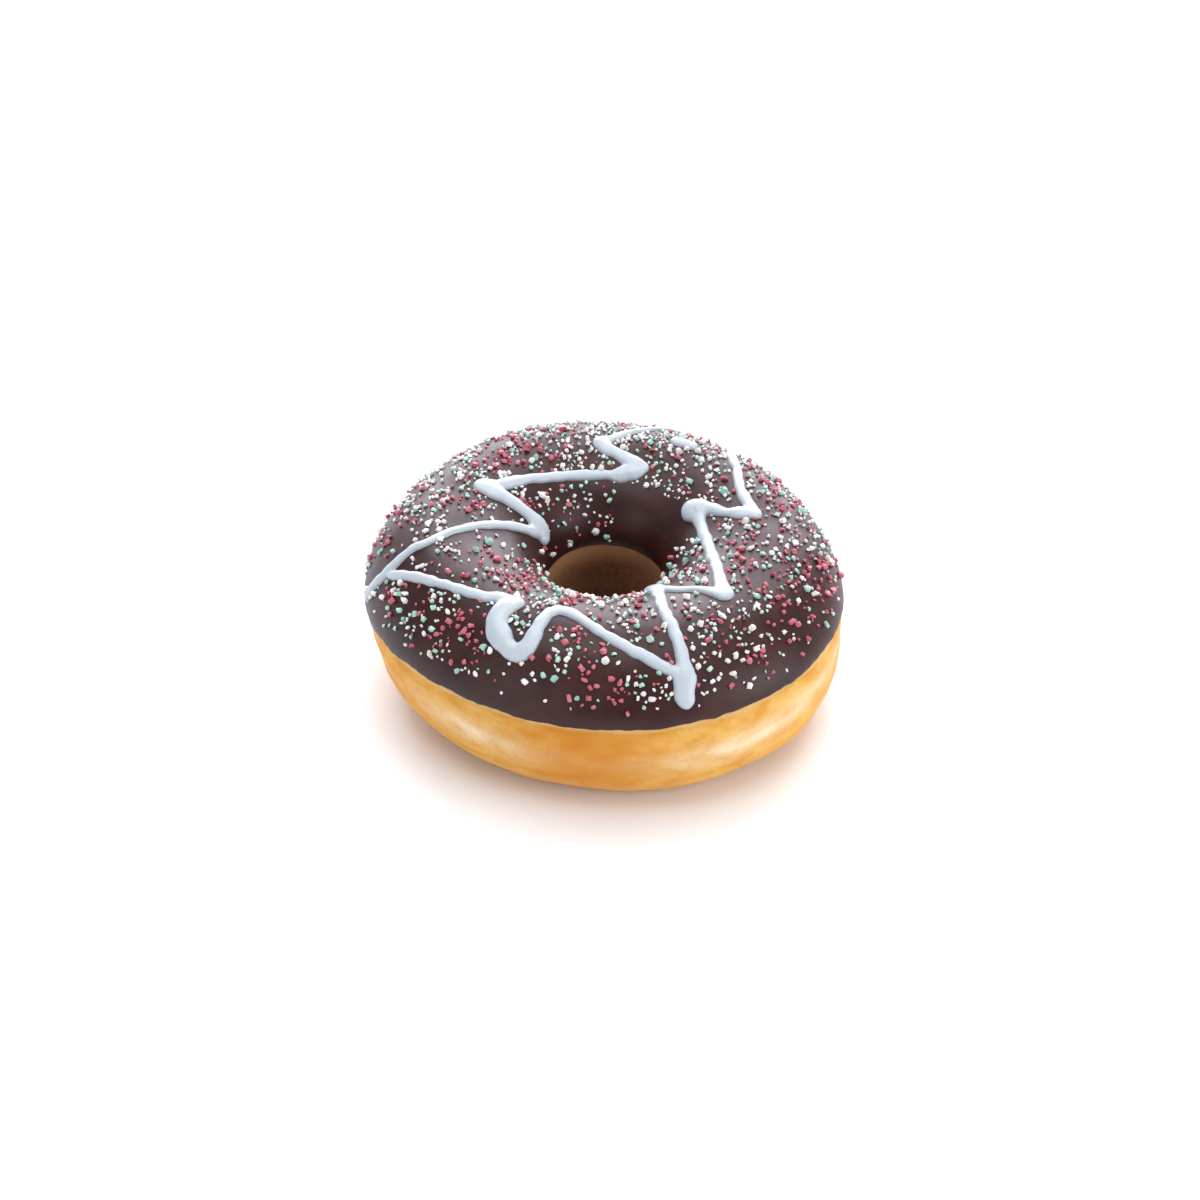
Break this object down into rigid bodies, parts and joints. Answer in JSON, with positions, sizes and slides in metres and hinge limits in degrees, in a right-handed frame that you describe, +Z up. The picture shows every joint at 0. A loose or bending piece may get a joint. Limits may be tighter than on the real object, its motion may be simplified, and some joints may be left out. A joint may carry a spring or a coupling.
{
  "type": "ring doughnut",
  "caption": "Ring doughnut dipped in dark chocolate, with a white icing drizzle and coloured sugar nibs over the glaze.",
  "frame": {"origin": "the middle of the underside, under the middle of the hole, on the surface that the doughnut stands on", "axes": "+Z is up through the hole; +X is to the right and -Y is towards the viewer in the picture"},
  "size_m": [0.0892, 0.0894, 0.0359],
  "materials": {
    "golden_dough": "soft matt fried crust, golden brown with a paler band round the side",
    "dark_chocolate": "satin dark chocolate, set hard, with a soft sheen"
  },
  "bodies": {
    "root": {"dough": "golden_dough", "chocolate_glaze": "dark_chocolate"}
  },
  "joints": []
}
